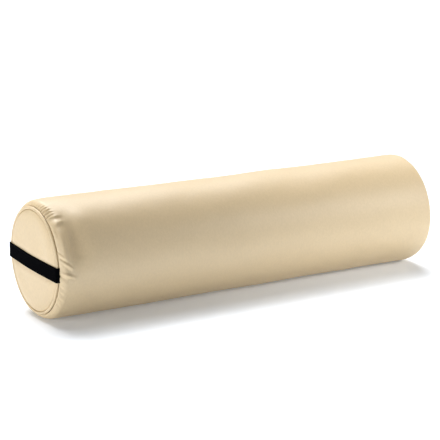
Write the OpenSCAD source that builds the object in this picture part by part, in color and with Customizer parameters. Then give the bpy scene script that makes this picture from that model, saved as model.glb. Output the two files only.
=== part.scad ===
// Full round massage bolster: a foam core in a zipped, piped vinyl cover with a webbing
// handle sewn across one end. Millimetres, +Z up. The body lies along X on a strip that
// its own weight presses flat. The origin is on that strip, midway between the end seams,
// and the handle is at the -X end.

/* [Body] */
// Diameter of the padded body
body_d = 177; // [160:1:190]
// Length from end seam to end seam
body_l = 672; // [600:4:720]
// Depth of the strip pressed flat by the body's weight
base_flat = 2; // [1.5:0.1:2.5]
// Radius of the padded shoulder beside each end seam
shoulder_r = 12; // [11:0.5:13]
// Thickness of the polyester batting round the core
batting_t = 6.5; // [5.5:0.5:7]

/* [Cover] */
// Thickness of the vinyl
vinyl_t = 1.2; // [1:0.1:1.4]
// Height of the crown of each end panel above its seam
crown_h = 6; // [5:0.5:7]
// Diameter of the piping bead round each end panel
piping_d = 4.5; // [4:0.1:5]

/* [Handle] */
// Width of the webbing
strap_w = 22; // [20:1:30]
// Thickness of the webbing
strap_t = 1.6; // [1.2:0.1:2]
// Length of the stretch of webbing that a hand lifts
grip_l = 90; // [80:5:100]
// Turn of the handle from level, its rear end upwards
strap_tilt = 2; // [-5:1:5]
// Drop of the handle below the middle of the end panel
strap_drop = 2; // [0:0.5:4]

/* [Zip] */
// Place of the zip round the body, from the top towards the back
zip_clock = 78; // [60:1:100]
// Length of the opening in the cover
zip_l = 568; // [400:4:568]
// Width of the opening in the cover
zip_w = 12; // [12:0.5:14]
// Width of each zip tape from the middle of the zip
tape_w = 16; // [14:0.5:18]
// Length of the pull tab from its pin
pull_l = 26; // [20:1:30]

/* [Hidden] */
$fn = 96;
fit_gap = 0.2; // between neighbouring layers that lie on each other
near_gap = 0.05; // between pieces that are sewn hard against each other

body_r = body_d / 2;
axis_z = body_r - base_flat;
seam_r = body_r - shoulder_r;
allowance_l = 8; // seam allowance turned into the cover

// Piping: the bead's centre, as a radius and a height above the seam
bead_r = seam_r + 0.6;
bead_h = 1.2;
piping_wall = 0.9;

// Radii where the three sewn layers meet inside the end seam
panel_out = bead_r - piping_wall / 2 - near_gap;
panel_in = panel_out - vinyl_t;
wrap_in = bead_r + piping_wall / 2 + near_gap;
wrap_out = wrap_in + vinyl_t;

// End panel: a shallow crown whose rim turns down inside the bead
rim_r = bead_r - piping_d / 2 - near_gap;
rim_round = 5;
crown_r = 900;

// Foam core
core_r = body_r - vinyl_t - fit_gap - batting_t;
core_l = body_l - 2 * (allowance_l + fit_gap);

// Zip, as radii from the body's axis
tape_t = 0.6;
tape_out = body_r - vinyl_t - fit_gap;
tape_in = tape_out - tape_t;
tape_over = 7; // tape beyond each end of the opening
pocket_w = tape_w + 1; // half width of the room for the tapes in the batting
pocket_z = sqrt(pow(tape_in, 2) - pow(pocket_w, 2)) - fit_gap;
coil_d = 2.4;
coil_y = 1.8; // middle of each coil from the middle of the zip
coil_z = tape_out + near_gap + coil_d / 2;
coil_l = zip_l - 14;
stop_l = 2.8;
slider_l = 11;
slider_w = 9;
plate_t = 1.2;
plate_z = coil_z + coil_d / 2 + 0.3; // underside of the slider's top plate
plate_top = plate_z + plate_t;
under_t = 1;
under_z = tape_in - 0.35 - under_t; // underside of its bottom plate
slider_x = -(coil_l / 2 - slider_l / 2 - 1.5);
pin_r = 0.7;
eye_r = 1.8;
pin_z = plate_top + eye_r + 0.1;
lug_y = 2.3;
lug_t = 1;
pull_droop = 5; // slope of the pull tab as it lies on the zip
stitch_pitch = 4.2;
stitch_l = 3;
stitch_y = zip_w / 2 + 2.6; // stitch row from the middle of the zip

// ---------- placing ----------

// Lays a shape built about the Z axis along the body's axis
module on_axis() {
    translate([0, 0, axis_z]) rotate([0, 90, 0]) children();
}

// Puts a shape built upwards from the seam plane on the +X end, or mirrored on the -X end
module at_end(left) {
    mirror([left ? 1 : 0, 0, 0])
        translate([body_l / 2, 0, axis_z]) rotate([0, 90, 0]) children();
}

// Puts a shape built along X over the body's axis round to the zip's place
module at_zip() {
    translate([0, 0, axis_z]) rotate([-zip_clock, 0, 0]) children();
}

// ---------- padded body ----------

// Half section of the body, inset from its surface: radius across, length up
module body_section(inset) {
    r = shoulder_r - inset;
    square([body_r - inset, body_l / 2 - shoulder_r]);
    square([seam_r, body_l / 2 - inset]);
    translate([seam_r, body_l / 2 - shoulder_r]) intersection() {
        circle(r);
        square([r, r]);
    }
}

// The body inset from its surface, with its pressed base
module body_solid(inset) {
    intersection() {
        on_axis() rotate_extrude() {
            body_section(inset);
            mirror([0, 1]) body_section(inset);
        }
        translate([-body_l, -body_d, inset]) cube([2 * body_l, 2 * body_d, 2 * body_d]);
    }
}

// A disc or plug across each end, for cutting
module both_ends(r, depth) {
    for (left = [false, true])
        at_end(left) translate([0, 0, -depth]) cylinder(r = r, h = depth + 1);
}

module foam_core() {
    color("khaki") on_axis() cylinder(r = core_r, h = core_l, center = true);
}

module batting_wrap() {
    color("whitesmoke") difference() {
        body_solid(vinyl_t + fit_gap);
        on_axis() cylinder(r = core_r + fit_gap / 2, h = core_l + fit_gap, center = true);
        both_ends(wrap_out + fit_gap, allowance_l + fit_gap);
        at_zip() zip_pocket();
    }
}

// Room pressed into the batting by the zip tapes and the underside of the slider
module zip_pocket() {
    pocket_l = zip_l + 2 * tape_over + 2;
    translate([-pocket_l / 2, -pocket_w, pocket_z]) cube([pocket_l, 2 * pocket_w, body_r]);
    translate([-zip_l / 2, -slider_w / 2 - 1, under_z - 0.4])
        cube([zip_l, slider_w + 2, body_r]);
}

module batting_pad(left) {
    color("whitesmoke") at_end(left) difference() {
        rotate_extrude() crown_section(vinyl_t + fit_gap);
        translate([0, 0, -allowance_l - 2 * body_r]) cylinder(r = body_r, h = 2 * body_r);
    }
}

// ---------- cover ----------

// The main sheet: a tube with turned-in edges at both end seams and the zip's opening
module wrap_panel() {
    color("wheat") difference() {
        union() {
            difference() {
                body_solid(0);
                body_solid(vinyl_t);
                both_ends(wrap_out - 0.2, shoulder_r);
            }
            for (left = [false, true]) at_end(left) wrap_allowance();
        }
        for (left = [false, true]) at_end(left) bead(piping_d / 2 + near_gap);
        at_zip() zip_opening();
    }
}

module wrap_allowance() {
    translate([0, 0, -allowance_l]) difference() {
        cylinder(r = wrap_out, h = allowance_l - 0.9);
        translate([0, 0, -1]) cylinder(r = wrap_in, h = allowance_l + 2);
    }
}

// The opening for the zip, and the seam that goes on from it to each end
module zip_opening() {
    translate([-zip_l / 2, -zip_w / 2, body_r / 2]) cube([zip_l, zip_w, body_r]);
    seam_l = body_l - 2 * shoulder_r;
    translate([-seam_l / 2, -0.4, body_r - 0.7]) cube([seam_l, 0.8, body_r]);
}

// Half section of the space under an end panel, inset from the panel's outer surface
module crown_section(inset) {
    top = crown_h - crown_r;
    corner_r = rim_r - rim_round;
    corner_h = top + sqrt(pow(crown_r - rim_round, 2) - pow(corner_r, 2));
    floor_h = -2 * allowance_l;
    intersection() {
        translate([0, top]) circle(crown_r - inset, $fn = 720);
        translate([0, floor_h]) square([corner_r, crown_h - floor_h]);
    }
    translate([corner_r, corner_h]) intersection() {
        circle(rim_round - inset);
        square([rim_round, rim_round]);
    }
    translate([0, floor_h]) square([rim_r - inset, corner_h - floor_h]);
}

module end_panel(left) {
    step_h = bead_h - piping_d / 2 - near_gap;
    color("wheat") at_end(left) rotate_extrude() {
        difference() {
            crown_section(0);
            crown_section(vinyl_t);
            translate([0, -3 * allowance_l]) square([body_r, 3 * allowance_l + step_h - vinyl_t]);
        }
        translate([rim_r - vinyl_t, step_h - vinyl_t])
            square([panel_out - rim_r + vinyl_t, vinyl_t]);
        translate([panel_in, -allowance_l]) square([vinyl_t, allowance_l + step_h]);
    }
}

// The ring that the piping bead fills, at a given radius of its section
module bead(r) {
    rotate_extrude() translate([bead_r, bead_h]) circle(r);
}

module piping_cover(left) {
    wall_mid = bead_h - piping_d / 2 + piping_wall / 2;
    color("wheat") at_end(left) rotate_extrude() {
        translate([bead_r, bead_h]) difference() {
            circle(piping_d / 2);
            circle(piping_d / 2 - piping_wall);
        }
        translate([bead_r - piping_wall / 2, -allowance_l])
            square([piping_wall, allowance_l + wall_mid]);
    }
}

module piping_cord(left) {
    color("white") at_end(left) bead(piping_d / 2 - piping_wall - near_gap);
}

// The lockstitch line on the inner face of the sewn layers
module seam_thread(left) {
    thread_r = 0.25;
    color("wheat") at_end(left) rotate_extrude()
        translate([panel_in - thread_r - near_gap, -allowance_l / 2]) circle(thread_r);
}

// ---------- handle ----------

strap_gap = 0.25; // webbing above the panel and the bead
bead_wrap = piping_d / 2 + strap_gap; // radius of the webbing's inner face round the bead
bead_end = -20; // the webbing ends this far round the bead

// Height of the crown at a distance from its middle
function crown_at(y) = crown_h - crown_r + sqrt(crown_r * crown_r - y * y);
// Where the taut webbing leaves the crown, and its slope from there to the bead
lift_y = bead_r - sqrt(bead_r * bead_r - 2 * crown_r * (crown_h - bead_h - piping_d / 2));
lift_slope = lift_y / crown_r;
function strap_at(y) =
    y < lift_y ? crown_at(y) : crown_at(lift_y) - (y - lift_y) * lift_slope;

// One face of the webbing, from the middle out to the seam, offset from its inner face
function strap_face(offset) = concat(
    [for (y = [0:5:70]) [y, strap_at(y) + strap_gap + offset]],
    [for (a = [90:-10:bead_end])
        [bead_r + (bead_wrap + offset) * cos(a), bead_h + (bead_wrap + offset) * sin(a)]]
);
function turned_round(points) = [for (i = [len(points) - 1:-1:0]) points[i]];

// Half of the webbing, on the +Y side of the end frame
module strap_half() {
    rotate([90, 0, 90]) linear_extrude(strap_w, center = true)
        polygon(concat(strap_face(0), turned_round(strap_face(strap_t))));
}

module strap_piece(from, to) {
    color("black") at_end(true) translate([strap_drop, 0, 0]) rotate([0, 0, strap_tilt])
        intersection() {
            union() {
                strap_half();
                mirror([0, 1, 0]) strap_half();
            }
            translate([-strap_w, from, -body_r]) cube([2 * strap_w, to - from, 2 * body_r]);
        }
}

module strap_grip() {
    strap_piece(-grip_l / 2, grip_l / 2);
}

module strap_tail_front() {
    strap_piece(-body_r, -grip_l / 2 - fit_gap);
}

module strap_tail_rear() {
    strap_piece(grip_l / 2 + fit_gap, body_r);
}

// ---------- zip ----------

// side is 1 for the half above the middle of the zip, and -1 for the half below it
module zip_tape(side) {
    tape_l = zip_l + 2 * tape_over;
    color("burlywood") at_zip() intersection() {
        rotate([0, 90, 0]) difference() {
            cylinder(r = tape_out, h = tape_l, center = true);
            cylinder(r = tape_in, h = tape_l + 2, center = true);
        }
        mirror([0, side > 0 ? 1 : 0, 0])
            translate([-tape_l, 0.6, body_r / 2]) cube([2 * tape_l, tape_w - 0.6, body_r]);
    }
}

module zip_coil(side) {
    color("tan") at_zip() translate([0, -side * coil_y, coil_z])
        rotate([0, 90, 0]) cylinder(d = coil_d, h = coil_l, center = true, $fn = 24);
}

module zip_stitching(side) {
    count = floor((zip_l - stitch_l) / stitch_pitch / 2);
    turn = asin(stitch_y / body_r);
    color("wheat") at_zip() rotate([side * turn, 0, 0])
        for (i = [-count:count])
            translate([i * stitch_pitch - stitch_l / 2, -0.3, body_r + 0.03])
                cube([stitch_l, 0.6, 0.35]);
}

module zip_top_stops() {
    color("silver") at_zip() for (side = [-1, 1])
        translate([-coil_l / 2 - 0.2 - stop_l, side * coil_y - 1.3, tape_out + near_gap])
            cube([stop_l, 2.6, coil_d + 0.3]);
}

module zip_bottom_stop() {
    color("silver") at_zip()
        translate([coil_l / 2 + 0.2, -coil_y - 1.4, tape_out + near_gap])
            cube([stop_l, 2 * coil_y + 2.8, coil_d + 0.3]);
}

module zip_slider() {
    color("silver") at_zip() translate([slider_x, 0, 0]) {
        difference() {
            union() {
                slider_plate(plate_z, plate_t);
                for (side = [-1, 1]) {
                    slider_flange(side);
                    slider_lug(side);
                }
            }
            translate([0, 0, pin_z]) rotate([90, 0, 0])
                cylinder(r = pin_r + 0.02, h = slider_w, center = true, $fn = 32);
        }
        slider_plate(under_z, under_t);
        translate([-2, -0.35, under_z]) cube([4, 0.7, plate_top - under_z]);
    }
}

// A plate whose corners are cut off, wider at the mouth than at the tail
module slider_plate(z, t) {
    l = slider_l / 2;
    w = slider_w / 2;
    translate([0, 0, z]) linear_extrude(t)
        polygon([[-l, 2], [-l + 2, w], [l - 3, w], [l, w - 0.8],
                 [l, 0.8 - w], [l - 3, -w], [-l + 2, -w], [-l, -2]]);
}

module slider_flange(side) {
    flange_z = tape_out + 0.35;
    translate([-slider_l / 2 + 2.2, side > 0 ? slider_w / 2 - 1 : -slider_w / 2, flange_z])
        cube([slider_l - 5.4, 1, plate_top - flange_z]);
}

module slider_lug(side) {
    y = side > 0 ? lug_y : -lug_y - lug_t;
    translate([-1.8, y, plate_top - 0.2]) cube([3.6, lug_t, pin_z - plate_top + 0.2]);
    translate([0, y + lug_t, pin_z]) rotate([90, 0, 0]) cylinder(r = 1.8, h = lug_t, $fn = 48);
}

module zip_pull_pin() {
    color("silver") at_zip() translate([slider_x, 0, pin_z]) rotate([90, 0, 0])
        cylinder(r = pin_r, h = 2 * (lug_y + lug_t), center = true, $fn = 32);
}

module zip_pull() {
    eye_w = 2 * lug_y - 0.4;
    pull_t = 1.3;
    color("silver") at_zip() translate([slider_x, 0, pin_z]) rotate([0, pull_droop, 0])
        difference() {
            union() {
                rotate([90, 0, 0]) cylinder(r = eye_r, h = eye_w, center = true, $fn = 48);
                translate([0, 0, -pull_t / 2]) linear_extrude(pull_t) pull_outline(eye_w);
            }
            rotate([90, 0, 0]) cylinder(r = pin_r + 0.08, h = 10, center = true, $fn = 32);
            translate([pull_l - 4.5, 0, -5]) cylinder(r = 1.4, h = 10, $fn = 32);
        }
}

// A neck from the eye that widens to a tab with a round end
module pull_outline(neck_w) {
    tab_w = 7.2;
    polygon([[0, -neck_w / 2], [3.2, -neck_w / 2], [6, -tab_w / 2], [pull_l - tab_w / 2, -tab_w / 2],
             [pull_l - tab_w / 2, tab_w / 2], [6, tab_w / 2], [3.2, neck_w / 2], [0, neck_w / 2]]);
    translate([pull_l - tab_w / 2, 0]) circle(d = tab_w);
}

// ---------- nodes ----------

foam_core();
batting_wrap();
batting_pad(true);  // batting_pad_left
batting_pad(false);  // batting_pad_right
wrap_panel();
end_panel(true);  // end_panel_left
end_panel(false);  // end_panel_right
piping_cover(true);  // piping_cover_left
piping_cover(false);  // piping_cover_right
piping_cord(true);  // piping_cord_left
piping_cord(false);  // piping_cord_right
seam_thread(true);  // seam_thread_left
seam_thread(false);  // seam_thread_right
strap_grip();
strap_tail_front();
strap_tail_rear();
zip_tape(1);  // zip_tape_upper
zip_tape(-1);  // zip_tape_lower
zip_coil(1);  // zip_coil_upper
zip_coil(-1);  // zip_coil_lower
zip_stitching(1);  // zip_stitching_upper
zip_stitching(-1);  // zip_stitching_lower
zip_top_stops();
zip_bottom_stop();
zip_slider();
zip_pull_pin();
zip_pull();
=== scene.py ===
"""Looks of a full round massage bolster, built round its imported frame.

The body lies along X with the handle at its -X end, the camera stands at -Y and the zip is at
+Y. Shapes are worked out in millimetres and made in metres. A place on the body is given by
its clock angle, in degrees from the top towards the camera, and by its distance from a seam.
"""
import math

import bmesh
import bpy
import numpy as np
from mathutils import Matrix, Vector


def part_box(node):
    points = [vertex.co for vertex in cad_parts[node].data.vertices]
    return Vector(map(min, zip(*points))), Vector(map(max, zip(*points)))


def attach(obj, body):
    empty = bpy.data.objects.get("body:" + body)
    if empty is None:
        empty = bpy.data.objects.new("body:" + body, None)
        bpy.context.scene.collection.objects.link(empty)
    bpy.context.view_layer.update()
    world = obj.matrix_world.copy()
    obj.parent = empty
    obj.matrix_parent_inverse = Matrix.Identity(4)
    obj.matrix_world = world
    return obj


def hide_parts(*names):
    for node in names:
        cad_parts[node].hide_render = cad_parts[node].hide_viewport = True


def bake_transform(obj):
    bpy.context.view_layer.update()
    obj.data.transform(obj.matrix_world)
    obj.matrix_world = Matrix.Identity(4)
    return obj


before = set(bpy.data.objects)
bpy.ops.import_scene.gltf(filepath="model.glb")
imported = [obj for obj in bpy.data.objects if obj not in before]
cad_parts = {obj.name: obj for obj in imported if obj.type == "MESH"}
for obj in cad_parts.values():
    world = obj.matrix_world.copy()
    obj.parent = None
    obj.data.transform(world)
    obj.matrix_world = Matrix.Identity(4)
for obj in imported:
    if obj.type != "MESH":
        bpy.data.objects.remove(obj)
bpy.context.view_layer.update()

MM = 0.001


# ---------- sizes, from the frame ----------

def box_mm(node):
    """Lowest and highest corner of a CAD node, in millimetres."""
    low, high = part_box(node)
    return np.array(low) / MM, np.array(high) / MM


_, wrap_high = box_mm("wrap_panel")
panel_low, panel_high = box_mm("end_panel_left")
bead_low, bead_high = box_mm("piping_cover_left")
coil_low, coil_high = box_mm("zip_coil_upper")
core_low, core_high = box_mm("foam_core")

AXIS_Z = (panel_low[2] + panel_high[2]) / 2  # height of the body's axis above the floor
BODY_R = wrap_high[2] - AXIS_Z
PIPING_D = 4.5
BEAD_R = (bead_high[2] - bead_low[2]) / 2 - PIPING_D / 2
BEAD_PROUD = 1.2  # middle of the bead outside the seam
SEAM_X = -bead_low[0] - PIPING_D / 2 - BEAD_PROUD
CROWN_H = -panel_low[0] - SEAM_X
CORE_R = (core_high[2] - core_low[2]) / 2
VINYL_T = 1.2

SHOULDER_R = 12.0  # padded shoulder beside the seam
ROLL_R = 1.8  # roll where the wrap turns down into the seam
PROUD = 1.1  # the shoulder swells this far past the seam, against the bead
EDGE_R = BEAD_R + 1.75  # show face of the wrap inside the seam
SEAM_R = BODY_R - SHOULDER_R
ROLL_TURN = math.asin((EDGE_R + ROLL_R - SEAM_R) / (SHOULDER_R - ROLL_R))  # where both arcs meet
ROLL_H = SHOULDER_R - (SHOULDER_R - ROLL_R) * math.cos(ROLL_TURN)
ROLL_L = ROLL_R * (math.pi / 2 + ROLL_TURN)
SHOULDER_L = SHOULDER_R * (math.pi / 2 - ROLL_TURN)
CREASE_AT = 2.0  # along the profile, where the wrap comes out from beside the bead
TAPER = 1.1  # how far the padding falls away towards the handle end's shoulder
BATTING_GIVE = 3.6  # how far the batting is squeezed before the foam gives way
FLOOR_EASE = 1.3  # how softly the underside turns into the flat that it rests on

ZIP_CLOCK = -78.0
COIL_L = coil_high[0] - coil_low[0]
ZIP_L = COIL_L + 14  # opening in the cover
ZIP_W = 12.0
TAPE_W = 16.0  # each tape, from the zip's middle line
TAPE_OVER = 7.0  # tape past each end of the opening
TAPE_OUT = BODY_R - VINYL_T - 0.2  # show face of the tapes, from the axis
COIL_OUT = TAPE_OUT + 1.25  # middle of the coils, from the axis
STITCH_L = 3.0  # as in CAD; the visual stitches bend down at both ends and are a little longer
STITCH_PITCH = 4.2
STITCH_FROM_EDGE = 2.6
FOLD_R = 1.4  # rolled edge of the opening

STRAP_W = 22.0  # these five are the CAD strap's own
STRAP_T = 1.6
STRAP_DROP = 2.0  # the strap's middle line below the body's axis
STRAP_TILT = 2.0  # degrees
STRAP_GAP = 0.25  # between the strap and what it lies on

UNDER_COVER = 0.9  # gap between the vinyl and the wadding
BATTING_DEPTH = 6.0  # how far inside the seams the batting stops

HANDLE_END = -1
FAR_END = 1
ENDS = ((HANDLE_END, "left"), (FAR_END, "right"))


# ---------- making meshes ----------

def add_to_scene(name, data):
    """A new object that holds the data."""
    made = bpy.data.objects.new(name, data)
    bpy.context.scene.collection.objects.link(made)
    return made


def make_object(name, points, faces, material):
    """A smooth object from points in millimetres."""
    mesh = bpy.data.meshes.new(name)
    mesh.from_pydata((np.asarray(points, float) * MM).tolist(), [], faces)
    mesh.polygons.foreach_set("use_smooth", [True] * len(mesh.polygons))
    mesh.update()
    mesh.materials.append(material)
    return add_to_scene(name, mesh)


def face_outwards(made):
    """Every face's normal points out of the piece."""
    shape = bmesh.new()
    shape.from_mesh(made.data)
    bmesh.ops.recalc_face_normals(shape, faces=shape.faces)
    shape.to_mesh(made.data)
    shape.free()


def give_thickness(made, thickness):
    """Thickness behind the show face, in millimetres."""
    solid = made.modifiers.new("thickness", "SOLIDIFY")
    solid.thickness = thickness * MM
    solid.offset = -1


def round_body(x, r, clock):
    """Points at x along the body, r from its axis, at clock angles."""
    turn = np.radians(clock)
    x, r, turn = np.broadcast_arrays(x, r, turn)
    return np.stack([x, -r * np.sin(turn), AXIS_Z + r * np.cos(turn)], axis=-1)


def grid_faces(rows, columns, start=0, keep=None):
    """Squares between rows of points, each row a closed ring, apart from those keep refuses."""
    faces = []
    for i in range(rows - 1):
        for j in range(columns):
            if keep is None or keep(i, j):
                k = (j + 1) % columns
                faces.append((start + i * columns + j, start + i * columns + k,
                              start + (i + 1) * columns + k, start + (i + 1) * columns + j))
    return faces


def tube_faces(count, sides, start=0):
    """Faces of a tube of rings, closed at both ends."""
    faces = grid_faces(count, sides, start)
    faces.append(tuple(start + i for i in range(sides)))
    faces.append(tuple(start + (count - 1) * sides + i for i in range(sides)))
    return faces


def joined_rings(first, first_clock, second, second_clock):
    """Triangles between two rings of points that start at one clock angle."""
    faces = []
    i = j = 0
    n, m = len(first), len(second)
    turn_1 = np.append(first_clock, first_clock[0] + 360)
    turn_2 = np.append(second_clock, second_clock[0] + 360)
    while i < n or j < m:
        if j >= m or (i < n and turn_1[i + 1] <= turn_2[j + 1]):
            faces.append((first[i % n], first[(i + 1) % n], second[j % m]))
            i += 1
        else:
            faces.append((first[i % n], second[(j + 1) % m], second[j % m]))
            j += 1
    return faces


# ---------- soft shape ----------

def apart(clock, other):
    """Signed angle from other to clock, from -180 to 180."""
    return (clock - other + 180) % 360 - 180


def bell(distance, width):
    """A rounded bump: 1 at distance 0, fading over a few widths."""
    return np.exp(-0.5 * (distance / width) ** 2)


def unevenness(along, clock, seed, lengths, waves_round, count=24):
    """Smooth random height of about 1, made of waves along and round the body."""
    draw = np.random.default_rng(seed)
    total = 0
    for _ in range(count):
        wave = draw.choice([-1, 1]) * 2 * math.pi / draw.uniform(*lengths)
        turns = draw.integers(*waves_round)
        total = total + np.cos(wave * along + turns * np.radians(clock) + draw.uniform(0, 6.28))
    return total / math.sqrt(count / 2)


def crease(along, clock, stroke, radius):
    """Height of one fold, drawn from one place to another and fading towards its ends."""
    clock_0, along_0, clock_1, along_1, width, height, lower = stroke
    scale = math.radians(radius)
    side = apart(clock, clock_0) * scale
    run_side = (clock_1 - clock_0) * scale
    run_along = along_1 - along_0
    length = math.hypot(run_side, run_along)
    share = np.clip((side * run_side + (along - along_0) * run_along) / length ** 2, 0, 1)
    off_side, off_along = side - share * run_side, along - along_0 - share * run_along
    # a fold from the seam is deepest and narrowest there, and any other is deepest at its middle
    from_seam = along_0 <= 1
    fade = (1 - share) * (1 + share) if from_seam else np.sin(np.pi * share) ** 0.8
    off = np.hypot(off_side, off_along) / (width * (0.7 + 0.6 * share if from_seam else 1))
    off = np.where(off_side > 0, off / lower, off)
    banks = 0.3 * bell(off - 2.3, 0.8)
    return height * fade * (bell(off, 1) - banks)


def gathers(seed, count, length, depth, strength):
    """Random puckers that start in the seam, deepest where strength(clock) is 1."""
    draw = np.random.default_rng(seed)
    strokes = []
    for i in range(count):
        clock = (i + draw.uniform(-0.4, 0.4)) * 360 / count
        power = strength(clock) * draw.uniform(0.3, 1)
        reach = length * draw.uniform(0.45, 1.1) * (0.5 + 0.5 * power)
        lean = draw.normal(0, 1.2)
        strokes.append((clock, 0, clock + lean, reach, draw.uniform(0.8, 1.7), -depth * power,
                        draw.uniform(1, 1.8)))
    return strokes


# Folds at the handle end: clock angle and distance from the seam of one end and of the other, then
# width, height, and how many times wider the wall at the larger clock angle is than the other one
HANDLE_FOLDS = [
    # tight puckers at one o'clock
    (9, 0, 11.5, 12, 0.95, -1.0, 1.3),
    (13.2, 0, 15.4, 14, 0.95, -1.5, 1.3),
    (17.4, 0, 19.2, 16, 0.95, -2.1, 1.4),
    (21.6, 0, 23.2, 17, 0.95, -2.5, 1.4),
    (25.8, 0, 27, 18, 0.95, -2.6, 1.4),
    (30, 0, 30.8, 17, 1.0, -2.5, 1.4),
    # two deep folds that run from the puckers on to the body, and the ridge between them
    (34.5, 2, 35.5, 27, 1.8, -1.35, 2.2),
    (47, 8, 42, 27, 2.4, -1.3, 2.2),
    (38.5, 12, 40, 26, 1.6, 0.35, 1),
    (43, 4, 56, 3.5, 1.6, 0.7, 1),
    # faint puckers at the top
    (-20, 0, -22, 10, 1.4, -0.5, 1.3),
    (-12, 0, -13.5, 11, 1.3, -0.6, 1.3),
    (-5, 0, -6.5, 10, 1.3, -0.5, 1.3),
    (1, 0, 0.5, 12, 1.3, -0.65, 1.3),
    (6, 0, 6.5, 10, 1.2, -0.6, 1.3),
    # ridges and hollows pulled out by the handle's near end
    (71, 1, 78, 12, 1.4, 0.7, 1),
    (75, 3, 81, 14, 1.3, -0.8, 1),
    (80, 7, 88, 24, 1.5, 1.2, 1),
    (85, 10, 92, 23, 2.4, -1.3, 1),
    (90, 3, 97, 29, 1.5, 1.35, 1),
    (93.5, 0, 98.5, 18, 1.4, -1.1, 1.6),
    (104, 0, 110, 13, 1.5, -0.8, 1.3),
    (110, 0, 117, 14, 1.4, -0.75, 1.3),
    (117, 0, 124, 14, 1.5, -0.8, 1.3),
    (125, 0, 131, 12, 1.5, -0.7, 1.3),
    # the same at its rear end
    (-74, 0, -80, 14, 1.5, -0.8, 1),
    (-84, 3, -90, 22, 1.6, 1.0, 1),
    (-95, 0, -99, 18, 1.4, -1.0, 1),
    (-103, 2, -108, 17, 1.6, 0.8, 1),
]

# Broad swells and hollows of the padding: distance from the handle end's seam, widths towards that
# seam and away from it, clock angle and width round the body in degrees, and height
SWELLS = [
    (23.5, 5.2, 14, 66, 17, -8.0),  # the hollow behind the front shoulder
    (9, 5, 5, 62, 20, 1.2),  # the shoulder beside that hollow
    (44, 10, 17, 44, 12, 3.4),  # padding pushed up on the hollow's far side
    (30, 8, 16, -88, 22, -2.2),  # a shallow hollow at the rear
    (2 * SEAM_X - 12, 90, 40, 10, 50, 2.0),  # the full top of the far end
    (2 * SEAM_X - 10, 35, 14, 110, 26, 4.0),  # the full lower front of the far end
    (26, 9, 18, 165, 25, -0.8),  # a faint hollow underneath
]


def handle_strength(clock):
    """How strongly the wrap is gathered round the handle end."""
    return (0.28 + 0.5 * bell(apart(clock, 28), 16) + 0.25 * bell(apart(clock, 112), 20)
            + 0.45 * bell(apart(clock, -95), 28) + 0.3 * bell(apart(clock, -170), 30))


def far_strength(clock):
    """The same for the far end."""
    return 0.4 + 0.4 * bell(apart(clock, -60), 22) + 0.45 * bell(apart(clock, 100), 25)


puckers = gathers(seed=11, count=66, length=11, depth=0.85, strength=handle_strength)
FOLDS = {
    HANDLE_END: puckers + HANDLE_FOLDS,
    FAR_END: gathers(seed=23, count=66, length=13, depth=0.95, strength=far_strength),
}


def wrap_profile(s):
    """Depth inside the seam, radius and outward direction at s along the wrap's show face."""
    s = np.asarray(s, float)
    beta = np.clip(s / ROLL_R, 0, math.pi / 2 + ROLL_TURN)
    theta = ROLL_TURN + np.clip((s - ROLL_L) / SHOULDER_R, 0, math.pi / 2 - ROLL_TURN)
    on_roll = s < ROLL_L
    n_h = np.where(on_roll, -np.sin(beta), -np.cos(theta))
    n_r = np.where(on_roll, -np.cos(beta), np.sin(theta))
    h = np.where(on_roll, ROLL_H + ROLL_R * n_h, SHOULDER_R + SHOULDER_R * n_h)
    r = np.where(on_roll, EDGE_R + ROLL_R + ROLL_R * n_r, SEAM_R + SHOULDER_R * n_r)
    h = h - np.minimum(s, 0) + np.maximum(s - ROLL_L - SHOULDER_L, 0) - PROUD
    return h, r, n_h, n_r


def on_floor(points):
    """The body settles on a soft-edged strip at the height of the floor."""
    z = points[..., 2]
    sag = BODY_R - AXIS_Z
    lowest = 0.5 * (-sag + math.hypot(sag, FLOOR_EASE))
    settled = 0.5 * (z + np.hypot(z, FLOOR_EASE)) - lowest
    points[..., 2] = np.where(z < 20, settled, z)
    return points


def zip_press(x, clock):
    """Height that the zip's opening, stitch rows and end seams give the wrap beside them."""
    groove_depth, groove_bank = 0.4, 0.3
    seam_depth, seam_bank = 1.1, 0.35
    side = apart(clock, ZIP_CLOCK) * math.radians(BODY_R)
    out = np.hypot(np.maximum(np.abs(x) - ZIP_L / 2, 0), np.maximum(np.abs(side) - ZIP_W / 2, 0))
    inside = np.clip(FOLD_R - out, 0, FOLD_R)
    rolled = np.sqrt(FOLD_R ** 2 - inside ** 2) - FOLD_R
    groove = groove_bank * bell(out - 7, 3) - groove_depth * bell(out - STITCH_FROM_EDGE, 0.5)
    # past the opening the wrap's two long edges meet in a plain seam
    beyond = np.clip((np.abs(x) - ZIP_L / 2 - 1) / 4, 0, 1)
    seam = seam_bank * bell(np.abs(side) - 3.2, 1.6) - seam_depth * bell(side, 0.55)
    near = np.abs(side) < 25
    return np.where(near, (rolled + groove) * (1 - beyond) + seam * beyond, 0)


def wrap_height(x, clock):
    """Unevenness of the padding under the whole wrap."""
    soft = 0.3 * unevenness(x, clock, seed=3, lengths=(110, 420), waves_round=(1, 6))
    fine = 0.07 * unevenness(x, clock, seed=4, lengths=(22, 70), waves_round=(8, 26), count=40)
    for from_seam, before, after, at, turn, height in SWELLS:
        off = x + SEAM_X - from_seam
        across = bell(apart(clock, at), turn)
        soft = soft + height * bell(off, np.where(off < 0, before, after)) * across
    return soft + fine


def foam_height(x, clock):
    """Depth, below 0, that the foam itself gives way under a deep hollow."""
    return np.minimum(wrap_height(x, clock) + BATTING_GIVE, 0)


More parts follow.
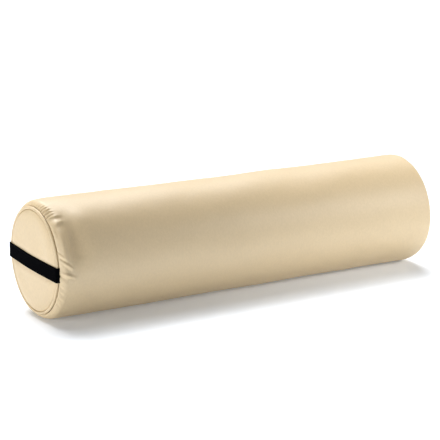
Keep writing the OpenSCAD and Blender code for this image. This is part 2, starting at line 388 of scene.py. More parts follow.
def shoulder_rows(end, rows, clock):
    """Points of the wrap from inside a seam to where the body is straight."""
    s, turn = np.meshgrid(rows, clock, indexing="ij")
    h, r, n_h, n_r = wrap_profile(s)
    x = end * (SEAM_X - h)
    folds = sum(crease(s - CREASE_AT, turn, fold, BODY_R) for fold in FOLDS[end])
    started = np.clip((s + 0.5) / 2.5, 0, 1)
    eased = np.clip(s / 14, 0, 1) ** 2
    lift = folds * started + wrap_height(x, turn) * eased + zip_press(x, turn)
    if end == HANDLE_END:
        lift = lift - TAPER * bell(s - 11, np.where(s < 11, 5, 11))
    return on_floor(round_body(end * (SEAM_X - h - lift * n_h), r + lift * n_r, turn))


def shoulder_spacing():
    """Rows from inside a seam to the straight body, close over the folds and then wider apart."""
    close, close_to, widening, widest, last = 0.7, 18, 0.12, 4, 48
    rows = [-5, -3, -1.5, 0]
    while rows[-1] < last:
        past = max(rows[-1] - close_to, 0)
        rows.append(rows[-1] + min(widest, close + past * widening))
    return np.array(rows)


def wrap_mesh():
    """The wrap: two finely meshed shoulders and between them a body with the zip's opening."""
    fine = ZIP_CLOCK + np.arange(720) * 0.5
    rows = shoulder_spacing()

    # closely spaced over the rolled edge and the groove of the stitches
    near_zip = [0, 0.7, 1.6, 3, 4.6, 6, 6.25, 6.6, 7, 7.4, 7.9, 8.25, 8.6, 8.95, 9.4, 10.2, 12, 14.5]
    half_round = math.pi * BODY_R
    rest = np.linspace(near_zip[-1], half_round, 115)[1:]
    side = np.concatenate([near_zip, rest, -rest[:-1][::-1], -np.array(near_zip[1:])[::-1]])
    clock = ZIP_CLOCK + (side % (2 * half_round)) / math.radians(BODY_R)
    columns = len(clock)

    end_x = ZIP_L / 2
    near_end = [end_x - 2.5, end_x, end_x + 0.3, end_x + 0.7, end_x + 1.1, end_x + 1.6]
    half = np.concatenate([np.linspace(0, near_end[0], 56)[:-1], near_end])
    middle_x = np.concatenate([-half[:0:-1], half])
    x, turn = np.meshgrid(middle_x, clock, indexing="ij")
    lift = wrap_height(x, turn) + zip_press(x, turn)
    middle = on_floor(round_body(x, BODY_R + lift, turn))

    def outside_zip(i, j):
        """False for a face in the zip's opening, which is left out."""
        in_x = abs(middle_x[i] + middle_x[i + 1]) / 2 < end_x
        in_side = max(abs(side[j]), abs(side[(j + 1) % columns])) < ZIP_W / 2 + 0.01
        return not (in_x and in_side)

    left = shoulder_rows(HANDLE_END, rows, fine)
    right = shoulder_rows(FAR_END, rows, fine)
    count = len(rows) * len(fine)
    points = np.concatenate([left.reshape(-1, 3), middle.reshape(-1, 3), right.reshape(-1, 3)])
    faces = grid_faces(len(rows), len(fine))
    faces += grid_faces(len(middle_x), columns, count, keep=outside_zip)
    faces += grid_faces(len(rows), len(fine), count + middle.shape[0] * columns)

    left_ring = count - len(fine) + np.arange(len(fine))
    right_ring = left_ring + count + middle.shape[0] * columns
    first_ring = count + np.arange(columns)
    last_ring = first_ring + (middle.shape[0] - 1) * columns
    faces += joined_rings(left_ring.tolist(), fine, first_ring.tolist(), clock)
    faces += joined_rings(right_ring.tolist(), fine, last_ring.tolist(), clock)
    return points, faces


# ---------- end panels and piping ----------

CROWN_R = 900.0  # the panel's shallow dome
RIM_R = BEAD_R - PIPING_D / 2 - 0.05
RIM_ROUND = 2.3  # how the panel turns down beside the bead
PANEL_FLANGE = 7  # depth of the panel's turned-in edge
PANEL_PUCKERS = 70
LAP_CLOCK = 172  # where the two ends of the piping's strip overlap
LAP_L = 14


def crown(r):
    """Height of an end panel above the seam at a distance from its middle."""
    return CROWN_H - CROWN_R + np.sqrt(CROWN_R ** 2 - r ** 2)


def panel_profile():
    """Radius and height above the seam along an end panel, from its middle to inside the seam."""
    corner_r = RIM_R - RIM_ROUND
    corner_h = CROWN_H - CROWN_R + math.sqrt((CROWN_R - RIM_ROUND) ** 2 - corner_r ** 2)
    r = np.concatenate([np.linspace(0, 40, 17), np.linspace(41.5, corner_r, 30)])
    turn = np.radians(np.linspace(84, 0, 12))
    radii = np.concatenate([r, corner_r + RIM_ROUND * np.cos(turn), [RIM_R, RIM_R]])
    rim = corner_h + RIM_ROUND * np.sin(turn)
    heights = np.concatenate([crown(r), rim, [corner_h - 2, -PANEL_FLANGE]])
    return radii, heights


def across_handle(r, clock):
    """Distance above the middle line of the handle, and distance along it."""
    turn = np.radians(clock)
    up, side = r * np.cos(turn) + STRAP_DROP, -r * np.sin(turn)
    tilt = math.radians(STRAP_TILT)
    return up * math.cos(tilt) - side * math.sin(tilt), side * math.cos(tilt) + up * math.sin(tilt)


def panel_mesh(end, seed):
    """An end panel, padded between the handle and the rim, with small puckers at the rim."""
    clock = np.arange(480) * 0.75
    radii, heights = panel_profile()
    r, turn = np.meshgrid(radii[1:], clock, indexing="ij")
    h = np.repeat(heights[1:, None], len(clock), axis=1)
    rim_fade, ring_r, ring_h, middle_h = 6, 61, 1.5, 0.8
    inner = np.clip((RIM_R - r) / rim_fade, 0, 1)
    # the padding stands up in a ring inside the rim, and under the handle it is held flat
    pillow = ring_h * bell(r - ring_r, 9) + middle_h * bell(r, 45)
    if end == HANDLE_END:
        off_strap = np.abs(across_handle(r, turn)[0]) - STRAP_W / 2
        free = 1 / (1 + np.exp(-(off_strap - 3) / 1.6))
        pillow = pillow * free + 0.35 * bell(off_strap - 7, 4) * (r < RIM_R)
    draw = np.random.default_rng(seed)
    puckers = 0
    for i in range(PANEL_PUCKERS):
        at = (i + draw.uniform(-0.4, 0.4)) * 360 / PANEL_PUCKERS
        reach = draw.uniform(3, 9)
        side = apart(turn, at) * math.radians(RIM_R)
        puckers = puckers - draw.uniform(0.05, 0.3) * bell(side, 1.3) * bell(RIM_R - r, reach / 2)
    soft = 0.22 * unevenness(r * 3, turn, seed, lengths=(120, 400), waves_round=(1, 5))
    h = h + pillow * inner + puckers + soft * inner * np.clip(r / 30, 0, 1)
    rim = round_body(end * (SEAM_X + h), r, turn)
    middle = round_body(end * (SEAM_X + heights[0] + (0 if end == HANDLE_END else middle_h)), 0, 0)
    points = np.concatenate([middle.reshape(1, 3), rim.reshape(-1, 3)])
    columns = len(clock)
    faces = [(0, 1 + j, 1 + (j + 1) % columns) for j in range(columns)]
    faces += grid_faces(len(radii) - 1, columns, 1)
    return points, faces


def piping_mesh(end, seed):
    """The bead and its flange, with the lap where the strip's two ends meet at the bottom."""
    clock = np.arange(720) * 0.5
    around = np.radians(np.linspace(-78, 258, 22))
    flange_w, flange_h = 0.45, -8 - BEAD_PROUD
    section_r = np.concatenate([[flange_w], PIPING_D / 2 * np.cos(around), [-flange_w]])
    section_h = np.concatenate([[flange_h], PIPING_D / 2 * np.sin(around), [flange_h]])
    r_off, turn = np.meshgrid(section_r, clock, indexing="ij")
    h_off = np.repeat(section_h[:, None], len(clock), axis=1)
    past_lap = np.abs(apart(turn, LAP_CLOCK) * math.radians(BEAD_R)) - LAP_L / 2
    bead = h_off > -3
    swell = 1 + 0.05 / (1 + np.exp(past_lap / 0.35)) * bead
    swell = swell - 0.05 * bell(past_lap - 0.4, 0.5)
    wrinkle = 0.018 * unevenness(turn, turn, seed, lengths=(2, 9), waves_round=(60, 150), count=30)
    swell = swell + wrinkle * (h_off > -1)
    swell = swell + 0.012 * unevenness(turn, turn, seed + 1, lengths=(50, 200), waves_round=(2, 9))
    points = round_body(end * (SEAM_X + BEAD_PROUD + h_off * np.where(bead, swell, 1)),
                        BEAD_R + r_off * swell, turn)
    columns = len(clock)
    faces = grid_faces(len(section_r), columns)
    last = (len(section_r) - 1) * columns
    faces += [(last + j, last + (j + 1) % columns, (j + 1) % columns, j) for j in range(columns)]
    return points.reshape(-1, 3), faces


# ---------- handle ----------

def handle_route():
    """The webbing's inner face: distance from the end's middle, height and outward direction."""
    lift_y = BEAD_R - math.sqrt(BEAD_R ** 2 - 2 * CROWN_R * (CROWN_H - BEAD_PROUD - PIPING_D / 2))
    slope = lift_y / CROWN_R
    y = np.linspace(0, BEAD_R, 72)[:-1]
    straight = crown(lift_y) - (y - lift_y) * slope
    flat = np.where(y < lift_y, crown(y), straight) + STRAP_GAP
    lean = np.where(y < lift_y, y / CROWN_R, slope)
    turn = np.radians(np.linspace(90 - math.degrees(slope), -28, 26))
    wrap = PIPING_D / 2 + STRAP_GAP
    y_all = np.concatenate([y, BEAD_R + wrap * np.cos(turn)])
    h_all = np.concatenate([flat, BEAD_PROUD + wrap * np.sin(turn)])
    n_y = np.concatenate([lean, np.cos(turn)])
    n_h = np.concatenate([np.ones_like(y), np.sin(turn)])
    return y_all, h_all, n_y, n_h


def handle_mesh(side):
    """Half of the webbing, from the middle of the end to one seam, and where its weave lies."""
    y, h, n_y, n_h = handle_route()
    ribs, rib_height = 14, 0.11
    flat_share, round_share = 0.93, 0.07
    across = np.linspace(-1, 1, 6 * ribs + 1)
    past_flat = np.clip(np.abs(across) - flat_share, 0, 1) / round_share
    edge = np.sqrt(np.clip(1 - past_flat ** 2, 0, 1))
    ridge = rib_height * (np.abs(np.sin(np.pi * (across + 1) / 2 * ribs)) - 0.6)
    half = STRAP_T / 2
    top = half + half * edge + ridge * edge
    bottom = half - half * edge - ridge * edge
    loop_w = np.concatenate([across, across[::-1][1:-1]]) * STRAP_W / 2
    loop_t = np.concatenate([top, bottom[::-1][1:-1]])
    length = np.concatenate([[0], np.cumsum(np.hypot(np.diff(y), np.diff(h)))])
    w = np.repeat(loop_w[None, :], len(y), axis=0)
    place_y = y[:, None] + n_y[:, None] * loop_t
    place_h = h[:, None] + n_h[:, None] * loop_t
    tilt = math.radians(STRAP_TILT)
    out_y = side * place_y
    points = np.stack([-(SEAM_X + place_h), out_y * math.cos(tilt) - w * math.sin(tilt),
                       AXIS_Z - STRAP_DROP + out_y * math.sin(tilt) + w * math.cos(tilt)], axis=-1)
    rows, columns = points.shape[:2]
    faces = grid_faces(rows, columns)
    faces.append(tuple(range(columns)))
    faces.append(tuple((rows - 1) * columns + i for i in range(columns)))
    return points.reshape(-1, 3), faces, np.stack(np.broadcast_arrays(side * length[:, None], w), -1)


# ---------- zip ----------

def at_zip(x, side, out):
    """Points by the zip: along the body, up from the zip's middle line, and out from the axis."""
    turn = math.radians(ZIP_CLOCK)
    x, side, out = np.broadcast_arrays(x, side, out)
    return np.stack([x, -out * math.sin(turn) - side * math.cos(turn),
                     AXIS_Z + out * math.cos(turn) - side * math.sin(turn)], axis=-1)


def coil_mesh(side):
    """A wound nylon filament whose heads pass between those of the other side."""
    pitch, per_turn, sides, filament = 1.5, 11, 5, 0.34
    from_middle, reach_side, reach_out, mean_reach = 1.4, 1.5, 1.08, 1.35
    turns = int(COIL_L / pitch) - 1
    t = np.arange(turns * per_turn + 1) / per_turn
    x = (t - turns / 2) * pitch + (pitch / 4 if side > 0 else -pitch / 4)
    turn = 2 * math.pi * t
    across = np.stack([np.cos(turn), 0.82 * np.sin(turn)], -1)
    ring = np.linspace(0, 2 * math.pi, sides, endpoint=False)
    reach = 1 + filament * np.cos(ring)[None, :] / mean_reach
    sideways = side * (from_middle + reach_side * across[:, :1] * reach)
    out = COIL_OUT + reach_out * across[:, 1:] * reach
    along = x[:, None] + filament * np.sin(ring)[None, :]
    return at_zip(along, sideways, out).reshape(-1, 3), tube_faces(len(t), sides)


def tape_mesh(side):
    """Woven tape under the cover, thicker beside the coil."""
    x = np.linspace(-ZIP_L / 2 - TAPE_OVER, ZIP_L / 2 + TAPE_OVER, 330)
    across = np.concatenate([[0.5, 0.9, 1.5, 2.4, 3.3, 3.9, 4.4], np.linspace(5, TAPE_W, 12)])
    along, up = np.meshgrid(x, across, indexing="ij")
    bulge = 0.16 * bell(up - 2.4, 0.9)
    wave = 0.09 * np.sin(along / 5.1 + 0.7 * np.sin(along / 17)) * np.clip((up - 4) / 6, 0, 1)
    clock = ZIP_CLOCK + side * np.degrees(up / TAPE_OUT)
    show, back = 0.09, 0.62  # depth of the two faces under the CAD tape's show face
    top = round_body(along, TAPE_OUT - show + bulge + wave, clock)
    base = round_body(along, TAPE_OUT - back + wave, clock)
    columns = len(across)
    loop = np.concatenate([top, base[:, ::-1]], axis=1)
    return loop.reshape(-1, 3), tube_faces(len(x), 2 * columns)


def stitch_mesh(side):
    """Rounded lock stitches that pull down into the cover at both ends."""
    half_l, thread_r, dip, slant = 1.75, 0.34, 0.75, 0.18
    steps, sides = 7, 6
    count = int((ZIP_L - STITCH_L) / STITCH_PITCH / 2)
    share = np.linspace(-1, 1, steps)
    ring = np.radians(np.arange(sides) * 60)
    points, faces = [], []
    for i in range(-count, count + 1):
        x = i * STITCH_PITCH + half_l * share
        middle = side * (ZIP_W / 2 + STITCH_FROM_EDGE)
        clock = ZIP_CLOCK + math.degrees(middle / BODY_R)
        surface = BODY_R + wrap_height(x, clock) + zip_press(x, np.full_like(x, clock))
        out = surface + 0.3 - dip * share ** 4
        size = thread_r * (1 - 0.25 * share ** 2)
        along = np.repeat(x[:, None], sides, axis=1)
        lean = slant * share[:, None]
        r = out[:, None] + size[:, None] * np.sin(ring)
        turn = clock + np.degrees((lean + size[:, None] * np.cos(ring)) / BODY_R)
        faces += tube_faces(steps, sides, len(points) * steps * sides)
        points.append(round_body(along, r, turn).reshape(-1, 3))
    return np.concatenate(points), faces


# ---------- padding ----------

def core_mesh():
    """A cut foam cylinder whose faces are a little uneven."""
    inset, edge, hub = 0.3, 1.5, 4
    rings, rows = 15, 88
    r_out, half = CORE_R - inset, core_high[0] - inset
    turn = np.radians(np.linspace(90, 0, 6))
    face_r = np.linspace(hub, r_out - edge, rings + 1)[:-1]
    r = np.concatenate([face_r, r_out - edge + edge * np.cos(turn)])
    x = np.concatenate([np.full(rings, half), half - edge + edge * np.sin(turn)])
    x = np.concatenate([x, np.linspace(half - edge, edge - half, rows + 2)[1:-1], -x[::-1]])
    r = np.concatenate([r, np.full(rows, r_out), r[::-1]])
    clock = np.arange(160) * 2.25
    radius, turned = np.meshgrid(r, clock, indexing="ij")
    along = np.repeat(x[:, None], len(clock), axis=1)
    cut = 0.12 * unevenness(along, turned, seed=71, lengths=(14, 60), waves_round=(6, 30), count=40)
    cut = cut - 0.15
    side = cut + foam_height(along, turned)
    points = round_body(along + np.sign(along) * cut * (np.abs(along) > half - 0.1),
                        radius + side * (radius > r_out - 0.1), turned)
    return points.reshape(-1, 3), tube_faces(len(r), len(clock))


def batting_mesh():
    """Fibre wadding between the foam and the cover, which follows the cover from inside."""
    x = np.linspace(BATTING_DEPTH - SEAM_X, SEAM_X - BATTING_DEPTH, 190)
    clock = ZIP_CLOCK + np.concatenate([np.linspace(0, 16, 15), np.linspace(17.5, 342.5, 210),
                                        np.linspace(344, 359, 14)])
    along, turn = np.meshgrid(x, clock, indexing="ij")
    inside = SHOULDER_R - PROUD - (SEAM_X - np.abs(along))
    drop = SHOULDER_R - np.sqrt(SHOULDER_R ** 2 - np.clip(inside, 0, SHOULDER_R) ** 2)
    fluff = 0.16 * unevenness(along, turn, seed=83, lengths=(9, 40), waves_round=(10, 60), count=50)
    off_core, thinnest, most_swell = 0.15, 0.45, 0.2
    swell = np.minimum(wrap_height(along, turn), most_swell)
    out = BODY_R - VINYL_T - UNDER_COVER - drop + swell + fluff
    # thinner towards both seams, so that the folds of the cover clear it
    thinner, over, fade = TAPER + 1.2, 30, 12
    out = out - thinner * np.clip((over - SEAM_X + np.abs(along)) / fade, 0, 1)
    core_r = CORE_R + foam_height(along, turn)
    out = np.maximum(out, core_r + thinnest)
    # a shallow channel under the zip's tapes, and a deeper one under its coils
    under_tape, under_coil = TAPE_OUT - 1.1, TAPE_OUT - 3
    side = np.abs(apart(turn, ZIP_CLOCK)) * math.radians(BODY_R)
    opened = np.abs(along) < ZIP_L / 2 + TAPE_OVER + 1
    out = np.where(opened & (side < TAPE_W + 2), np.minimum(out, under_tape), out)
    out = np.where(opened & (side < ZIP_W / 2 + 0.2), np.minimum(out, under_coil), out)
    outer = on_floor(round_body(along, out, turn))
    outer[..., 2] = np.maximum(outer[..., 2], VINYL_T + 0.5)
    inner = round_body(along, core_r + off_core, turn)
    columns = len(clock)
    points = np.concatenate([outer.reshape(-1, 3), inner.reshape(-1, 3)])
    start = outer.shape[0] * columns
    faces = grid_faces(len(x), columns) + grid_faces(len(x), columns, start)
    for row in (0, len(x) - 1):
        for j in range(columns):
            k = (j + 1) % columns
            faces.append((row * columns + j, row * columns + k,
                          start + row * columns + k, start + row * columns + j))
    return points, faces


def pad_mesh(end, seed):
    """A round of wadding under an end panel."""
    radii, heights = panel_profile()
    inset, base = VINYL_T + UNDER_COVER, -7.8
    n = len(radii) - 2
    r = np.concatenate([radii[1:n] * (RIM_R - inset) / RIM_R, [RIM_R - inset, RIM_R - inset], [6]])
    h = np.concatenate([heights[1:n] - inset, [heights[n] - inset, base], [base]])
    clock = np.arange(240) * 1.5
    radius, turn = np.meshgrid(r, clock, indexing="ij")
    height = np.repeat(h[:, None], len(clock), axis=1)
    fluff = 0.12 * unevenness(radius * 2, turn, seed, lengths=(12, 60), waves_round=(4, 40), count=40)
    fluff = fluff - 0.12
    points = round_body(end * (SEAM_X + height + fluff * (height > -7)), radius, turn)
    return points.reshape(-1, 3), tube_faces(len(r), len(clock))


# ---------- materials ----------

def new_material(name, colour, roughness, **sockets):
    """A material, its node tree and its shader. A socket is named with _ for each space."""
    material = bpy.data.materials.new(name)
    material.use_nodes = True
    shader = material.node_tree.nodes["Principled BSDF"]
    shader.inputs["Base Color"].default_value = (*colour, 1)
    shader.inputs["Roughness"].default_value = roughness
    for socket, value in sockets.items():
        shader.inputs[socket.replace("_", " ")].default_value = value
    return material, material.node_tree, shader


def node(tree, kind, inputs=None, **settings):
    """A shader node. An input is a value, or the output socket that feeds it."""
    made = tree.nodes.new(kind)
    for key, value in settings.items():
        setattr(made, key, value)
    for key, value in (inputs or {}).items():
        if hasattr(value, "is_linked"):
            tree.links.new(value, made.inputs[key])
        else:
            made.inputs[key].default_value = value
    return made


def object_place(tree, scale=(1, 1, 1)):
    """Place in the object, in metres, so a texture's scale is its details in one metre."""
    place = node(tree, "ShaderNodeTexCoord").outputs["Object"]
    return node(tree, "ShaderNodeMapping", {"Vector": place, "Scale": scale}).outputs["Vector"]


def noise(tree, place, scale, detail):
    """Cloudy variation, finer as the scale grows."""
    inputs = {"Vector": place, "Scale": scale, "Detail": detail}
    return node(tree, "ShaderNodeTexNoise", inputs).outputs["Fac"]


def cells(tree, place, scale):
    """Rounded pits, closer as the scale grows."""
    inputs = {"Vector": place, "Scale": scale}
    return node(tree, "ShaderNodeTexVoronoi", inputs).outputs["Distance"]


def bands(tree, place, direction, scale, distortion, **more):
    """Parallel ribs or strands across one direction."""
    inputs = {"Vector": place, "Scale": scale, "Distortion": distortion, **more}
    return node(tree, "ShaderNodeTexWave", inputs, wave_type="BANDS",
                bands_direction=direction).outputs["Fac"]


def between(tree, value, low, high, **more):
    """A value from 0 to 1, brought to between low and high."""
    inputs = {"Value": value, "To Min": low, "To Max": high, **more}
    return node(tree, "ShaderNodeMapRange", inputs).outputs["Result"]


def mixed_colour(tree, factor, dark, light):
    """A colour between dark and light, by a factor from 0 to 1."""
    ramp = node(tree, "ShaderNodeValToRGB", {"Fac": factor})
    ramp.color_ramp.elements[0].color = (*dark, 1)
    ramp.color_ramp.elements[1].color = (*light, 1)
    return ramp.outputs["Color"]


def bump(tree, height, depth, strength, normal=None):
    """Fine relief of a depth in millimetres, on top of any relief before it."""
    inputs = {"Height": height, "Distance": depth * MM, "Strength": strength}
    if normal:
        inputs["Normal"] = normal
    return node(tree, "ShaderNodeBump", inputs).outputs["Normal"]


VINYL = (0.66, 0.508, 0.3)


def shade(colour, factor):
    """A colour made darker or lighter by a factor."""
    return tuple(min(1, channel * factor) for channel in colour)


def vinyl_material():
    """Satin leather-look vinyl: pebbled grain over faint ribs of the backing cloth."""
    material, tree, shader = new_material("vinyl", VINYL, 0.5, Specular_IOR_Level=0.85)
    place = object_place(tree)
    pebble = object_place(tree, (1, 0.6, 0.6))
    pores = cells(tree, pebble, 1000)
    grain = noise(tree, place, 1600, 3)
    pebbles = noise(tree, pebble, 420, 3)
    ribs = bands(tree, place, "X", 130, 5, **{"Detail": 2.0, "Detail Scale": 0.6})
    soft = noise(tree, place, 60, 2)
    broad = noise(tree, place, 9, 3)
    tone = mixed_colour(tree, broad, shade(VINYL, 0.96), shade(VINYL, 1.035))
    fine_tone = between(tree, pebbles, 0.965, 1.03, **{"From Min": 0.3, "From Max": 0.7})
    spotted = node(tree, "ShaderNodeVectorMath", {0: tone, 1: fine_tone}, operation="MULTIPLY")
    tree.links.new(spotted.outputs["Vector"], shader.inputs["Base Color"])
    tree.links.new(between(tree, grain, 0.42, 0.58), shader.inputs["Roughness"])
    normal = bump(tree, soft, 0.5, 0.12)
    normal = bump(tree, ribs, 0.12, 0.12, normal)
    normal = bump(tree, pebbles, 0.3, 0.25, normal)
    normal = bump(tree, grain, 0.12, 0.3, normal)
    normal = bump(tree, pores, 0.25, 0.35, normal)
    tree.links.new(normal, shader.inputs["Normal"])
    return material


def webbing_material():
    """Black woven webbing, its weave laid out along the strap."""
    black = (0.0015, 0.0015, 0.002)
    material, tree, shader = new_material("webbing", black, 0.9, Specular_IOR_Level=0.01)
    uv = node(tree, "ShaderNodeUVMap", uv_map="weave").outputs["UV"]
    slant = bands(tree, uv, "DIAGONAL", 3.2, 0.6, Detail=1.0)
    thread = noise(tree, uv, 9, 4)
    tone = mixed_colour(tree, thread, (0.0007, 0.0007, 0.001), (0.0025, 0.0025, 0.0032))
    tree.links.new(tone, shader.inputs["Base Color"])
    normal = bump(tree, thread, 0.1, 0.3)
    normal = bump(tree, slant, 0.25, 0.6, normal)
    tree.links.new(normal, shader.inputs["Normal"])
    return material


def fibre_material(name, dark, light, scale, depth, stretch=(1, 1, 1)):
    """Felt, foam or cord: a mottled, rough surface with a deep fine relief."""
    material, tree, shader = new_material(name, light, 0.9)
    place = object_place(tree, stretch)
    pits = cells(tree, place, scale)
    fuzz = noise(tree, place, scale * 0.4, 6)
    tree.links.new(mixed_colour(tree, fuzz, dark, light), shader.inputs["Base Color"])
    normal = bump(tree, fuzz, depth * 2, 0.5)
    tree.links.new(bump(tree, pits, depth, 0.7, normal), shader.inputs["Normal"])
    return material


def thread_material():
    """Twisted yarn: slanting strands along X."""
    dark, light = (0.62, 0.49, 0.32), (0.78, 0.64, 0.44)
    strand = 0.5 * MM
    material, tree, shader = new_material("thread", light, 0.5, Sheen_Weight=0.3)
    place = object_place(tree)
    strands = bands(tree, place, "DIAGONAL", 1 / (6.3 * strand), 1.5, Detail=2.0)
    fuzz = noise(tree, place, 3500, 3)
    tree.links.new(mixed_colour(tree, strands, dark, light), shader.inputs["Base Color"])
    normal = bump(tree, fuzz, 0.1, 0.4)
    tree.links.new(bump(tree, strands, 0.2, 0.8, normal), shader.inputs["Normal"])
    return material


def tape_material():
    """Herringbone polyester tape."""
    dark, light = (0.46, 0.35, 0.21), (0.60, 0.46, 0.29)
    material, tree, shader = new_material("zip_tape", (0.55, 0.42, 0.26), 0.75, Sheen_Weight=0.35)
    place = object_place(tree)
    weave = bands(tree, place, "DIAGONAL", 260, 0.4)
    warp = bands(tree, place, "Z", 420, 0.3)
    tree.links.new(mixed_colour(tree, weave, dark, light), shader.inputs["Base Color"])
    normal = bump(tree, warp, 0.15, 0.6)
    tree.links.new(bump(tree, weave, 0.2, 0.7, normal), shader.inputs["Normal"])
    return material


def nylon_material():
    """Glossy, slightly see-through filament."""
    dark, light = (0.50, 0.38, 0.23), (0.64, 0.50, 0.32)
    material, tree, shader = new_material("zip_coil", (0.58, 0.45, 0.28), 0.28, Coat_Weight=0.25,
                                          Subsurface_Weight=0.1, Subsurface_Scale=1 * MM)
    tone = noise(tree, object_place(tree), 900, 2)
    tree.links.new(mixed_colour(tree, tone, dark, light), shader.inputs["Base Color"])
    tree.links.new(bump(tree, tone, 0.06, 0.4), shader.inputs["Normal"])
    return material


def metal_material():
    """Plated zinc with fine handling marks."""
    dark, light = (0.62, 0.61, 0.60), (0.80, 0.79, 0.77)
    material, tree, shader = new_material("zip_metal", (0.72, 0.71, 0.69), 0.24, Metallic=1)
    place = object_place(tree, (0.25, 1, 1))
    marks = noise(tree, place, 1500, 5)
    wear = noise(tree, place, 240, 3)
    tree.links.new(mixed_colour(tree, wear, dark, light), shader.inputs["Base Color"])
    tree.links.new(between(tree, marks, 0.16, 0.38), shader.inputs["Roughness"])
    tree.links.new(bump(tree, marks, 0.04, 0.35), shader.inputs["Normal"])
    return material


def give_material(cad_node, material):
    """A CAD part keeps its shape and gets a new material."""
    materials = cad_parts[cad_node].data.materials
    materials.clear()
    materials.append(material)


def round_edges(cad_node, width):
    """Worn edges of a width in millimetres on a CAD part, and smooth faces between them."""
    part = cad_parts[cad_node]
    for polygon in part.data.polygons:
        polygon.use_smooth = True
    worn = part.modifiers.new("worn edges", "BEVEL")
    worn.width = width * MM
    worn.segments = 3
    worn.limit_method = "ANGLE"
    worn.angle_limit = math.radians(35)
    worn.harden_normals = True


# ---------- studio ----------

CAMERA_TURN = -32.09  # degrees from straight in front towards the handle end
CAMERA_RISE = 13.04  # degrees above the floor
CAMERA_AWAY = 25.08 * BODY_R
CAMERA_TARGET = (-0.2238 * BODY_R, 0, AXIS_Z + 0.237 * BODY_R)
CAMERA_LENS = 116.35
FLOOR_HALF = 10 / MM  # 10 m each way


def camera():
    """A long lens from about two metres away, placed by a fit to the photo's outline."""
    azimuth, elevation = math.radians(CAMERA_TURN), math.radians(CAMERA_RISE)
    back = Vector((math.sin(azimuth) * math.cos(elevation), -math.cos(azimuth) * math.cos(elevation),
                   math.sin(elevation)))
    data = bpy.data.cameras.new("camera")
    data.sensor_width = 36
    data.lens = CAMERA_LENS
    made = add_to_scene("camera", data)
    made.location = Vector(CAMERA_TARGET) * MM + back * (CAMERA_AWAY * MM)
    made.rotation_euler = (-back).to_track_quat("-Z", "Y").to_euler()
    bpy.context.scene.camera = made


def floor():
    """A pale floor with a slight glow of its own, which lightens the shadow."""
    material = new_material("studio_floor", (0.89, 0.93, 0.985), 0.6,
                            Emission_Color=(0.88, 0.93, 1, 1), Emission_Strength=0.135)[0]
    corners = [(-FLOOR_HALF, -FLOOR_HALF, 0), (FLOOR_HALF, -FLOOR_HALF, 0),
               (FLOOR_HALF, FLOOR_HALF, 0), (-FLOOR_HALF, FLOOR_HALF, 0)]
    make_object("floor", corners, [(0, 1, 2, 3)], material)


def surroundings():
    """White all round, bright near the horizon and dim above it."""
    world = bpy.data.worlds.new("studio")
    bpy.context.scene.world = world
    world.use_nodes = True
    tree = world.node_tree
    tree.nodes["Background"].inputs["Color"].default_value = (1, 1, 1, 1)
    direction = node(tree, "ShaderNodeTexCoord").outputs["Generated"]
    height = node(tree, "ShaderNodeSeparateXYZ", {"Vector": direction}).outputs["Z"]
    steps = {"Value": height, "From Min": 0.02, "From Max": 0.24, "To Min": 0.6, "To Max": 0.02}
    sky = node(tree, "ShaderNodeMapRange", steps, interpolation_type="SMOOTHSTEP")
    tree.links.new(sky.outputs["Result"], tree.nodes["Background"].inputs["Strength"])


def soft_sun(name, power, wide, back, right):
    """A large soft light overhead, leaning to the back and to the right. Angles are in degrees."""
    light = bpy.data.lights.new(name, "SUN")
    light.energy = power
    light.angle = math.radians(wide)
    add_to_scene(name, light).rotation_euler = (math.radians(-back), math.radians(right), 0)


def area_light(name, place, target, size, power, opening=180):
    """A lamp of a size in metres, whose light opens by some degrees."""
    light = bpy.data.lights.new(name, "AREA")
    light.shape = "RECTANGLE"
    light.size, light.size_y = size
    light.energy = power
    light.spread = math.radians(opening)
    made = add_to_scene(name, light)
    made.location = place
    made.rotation_euler = (Vector(target) - Vector(place)).to_track_quat("-Z", "Y").to_euler()


def lights():
    """Two broad lights overhead, and three lamps that lift the front, the handle end and the floor."""
    soft_sun("overhead_back", 2.85, wide=46, back=36, right=10)
    soft_sun("overhead", 1.8, wide=52, back=18, right=0)
    area_light("front_right", (1.05, -1.1, 0.78), (0.36, 0, 0.09), (0.7, 0.7), 1.0, opening=36)
    area_light("left", (-1.5, -0.12, 0.3), (-0.3, 0, 0.08), (0.8, 0.4), 6.6)
    area_light("floor_front", (0, -0.23, 0.8), (0, -0.23, 0), (1.2, 0.1), 0.25, opening=14)


# ---------- the scene ----------

camera()
floor()
surroundings()
lights()
bpy.context.scene.view_settings.view_transform = "Standard"

vinyl = vinyl_material()
webbing = webbing_material()

wrap = make_object("wrap_cover", *wrap_mesh(), vinyl)
face_outwards(wrap)
give_thickness(wrap, VINYL_T)
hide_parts("wrap_panel")
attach(wrap, "root")

for end, end_name in ENDS:
    panel = make_object(f"end_cover_{end_name}", *panel_mesh(end, 31 + end), vinyl)
    face_outwards(panel)
    give_thickness(panel, VINYL_T)
    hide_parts(f"end_panel_{end_name}")
    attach(panel, "root")
    piping = make_object(f"piping_{end_name}", *piping_mesh(end, 51 + end), vinyl)
    face_outwards(piping)
    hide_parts(f"piping_cover_{end_name}")
    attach(piping, "root")

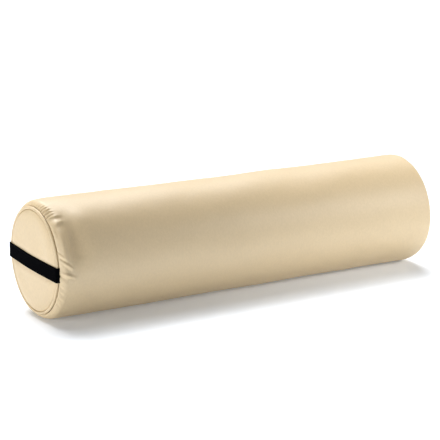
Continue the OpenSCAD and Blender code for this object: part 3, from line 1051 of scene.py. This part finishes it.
# two halves that meet in the middle of the grip, so that each bends between it and its seam
for side, side_name in ((-1, "front"), (1, "rear")):
    points, faces, weave = handle_mesh(side)
    half = make_object(f"handle_{side_name}", points, faces, webbing)
    face_outwards(half)
    uv = half.data.uv_layers.new(name="weave")
    corners = np.array([loop.vertex_index for loop in half.data.loops])
    uv.data.foreach_set("uv", weave.reshape(-1, 2)[corners].ravel())
    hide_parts(f"strap_tail_{side_name}", "strap_grip")
    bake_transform(half)

thread = thread_material()
tape = tape_material()
nylon = nylon_material()
metal = metal_material()
foam = fibre_material("foam", (0.72, 0.62, 0.36), (0.82, 0.74, 0.48), scale=700, depth=0.4)
wadding = fibre_material("batting", (0.78, 0.78, 0.76), (0.92, 0.92, 0.90), scale=380, depth=0.5,
                         stretch=(0.3, 1, 1))
cotton = fibre_material("piping_cord", (0.74, 0.72, 0.66), (0.90, 0.88, 0.82), scale=900, depth=0.3,
                        stretch=(1, 0.4, 0.4))

for side, side_name in ((1, "upper"), (-1, "lower")):
    for kind, mesh, material in (("coil", coil_mesh(side), nylon), ("tape", tape_mesh(side), tape),
                                 ("stitching", stitch_mesh(side), thread)):
        piece = make_object(f"{kind}_{side_name}", *mesh, material)
        face_outwards(piece)
        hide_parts(f"zip_{kind}_{side_name}")
        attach(piece, "root")

core = make_object("core", *core_mesh(), foam)
padding = make_object("padding", *batting_mesh(), wadding)
soft = [(core, "foam_core", "foam", 1.0), (padding, "batting_wrap", "batting", 0.7)]
for end, end_name in ENDS:
    pad = make_object(f"pad_{end_name}", *pad_mesh(end, 91 + end), wadding)
    soft.append((pad, f"batting_pad_{end_name}", "batting", 0.7))
for piece, cad_node, slot, fill in soft:
    face_outwards(piece)
    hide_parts(cad_node)
    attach(piece, "root")

for _, end_name in ENDS:
    give_material(f"piping_cord_{end_name}", cotton)
    give_material(f"seam_thread_{end_name}", thread)
for cad_node in ("zip_top_stops", "zip_bottom_stop", "zip_slider", "zip_pull_pin", "zip_pull"):
    give_material(cad_node, metal)
    round_edges(cad_node, 0.22)
